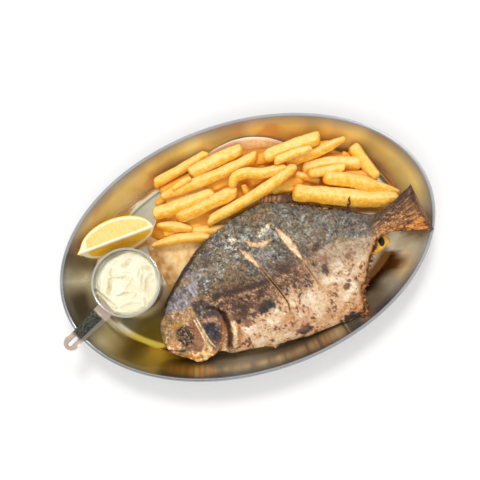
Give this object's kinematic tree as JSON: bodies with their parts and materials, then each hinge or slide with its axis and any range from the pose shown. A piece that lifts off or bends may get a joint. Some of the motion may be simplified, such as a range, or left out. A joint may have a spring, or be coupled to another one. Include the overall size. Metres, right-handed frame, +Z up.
{
  "type": "plated whole grilled fish",
  "caption": "Whole grilled bream on an oval steel dish, with fries on a flatbread, a lemon wedge and a handled steel cup of sauce.",
  "frame": {"origin": "middle of the dish's flat underside", "axes": "+X along the dish's length, from the cup at the fish's head end to its tail, +Y across the dish towards the fries, +Z up"},
  "size_m": [0.3572, 0.229, 0.0437],
  "materials": {
    "dish_steel": "polished, slightly brushed steel",
    "cup_steel": "polished steel",
    "handle_steel": "worn pressed steel",
    "sauce_cream": "thick white sauce with a soft sheen",
    "flatbread_crumb": "floury bread with toasted spots",
    "fried_potato": "golden fried potato, faintly oily",
    "lemon_flesh": "wet pale yellow flesh, white pith and yellow rind",
    "fish_skin": "grilled skin, slate grey back, cream and brown belly, charred in spots"
  },
  "bodies": {
    "root": {"dish": "dish_steel", "sauce_cup": "cup_steel", "cup_handle": "handle_steel", "sauce": "sauce_cream", "flatbread": "flatbread_crumb", "fries": "fried_potato", "loose_fry": "fried_potato", "lemon_wedge": "lemon_flesh", "fish": "fish_skin"}
  },
  "joints": []
}
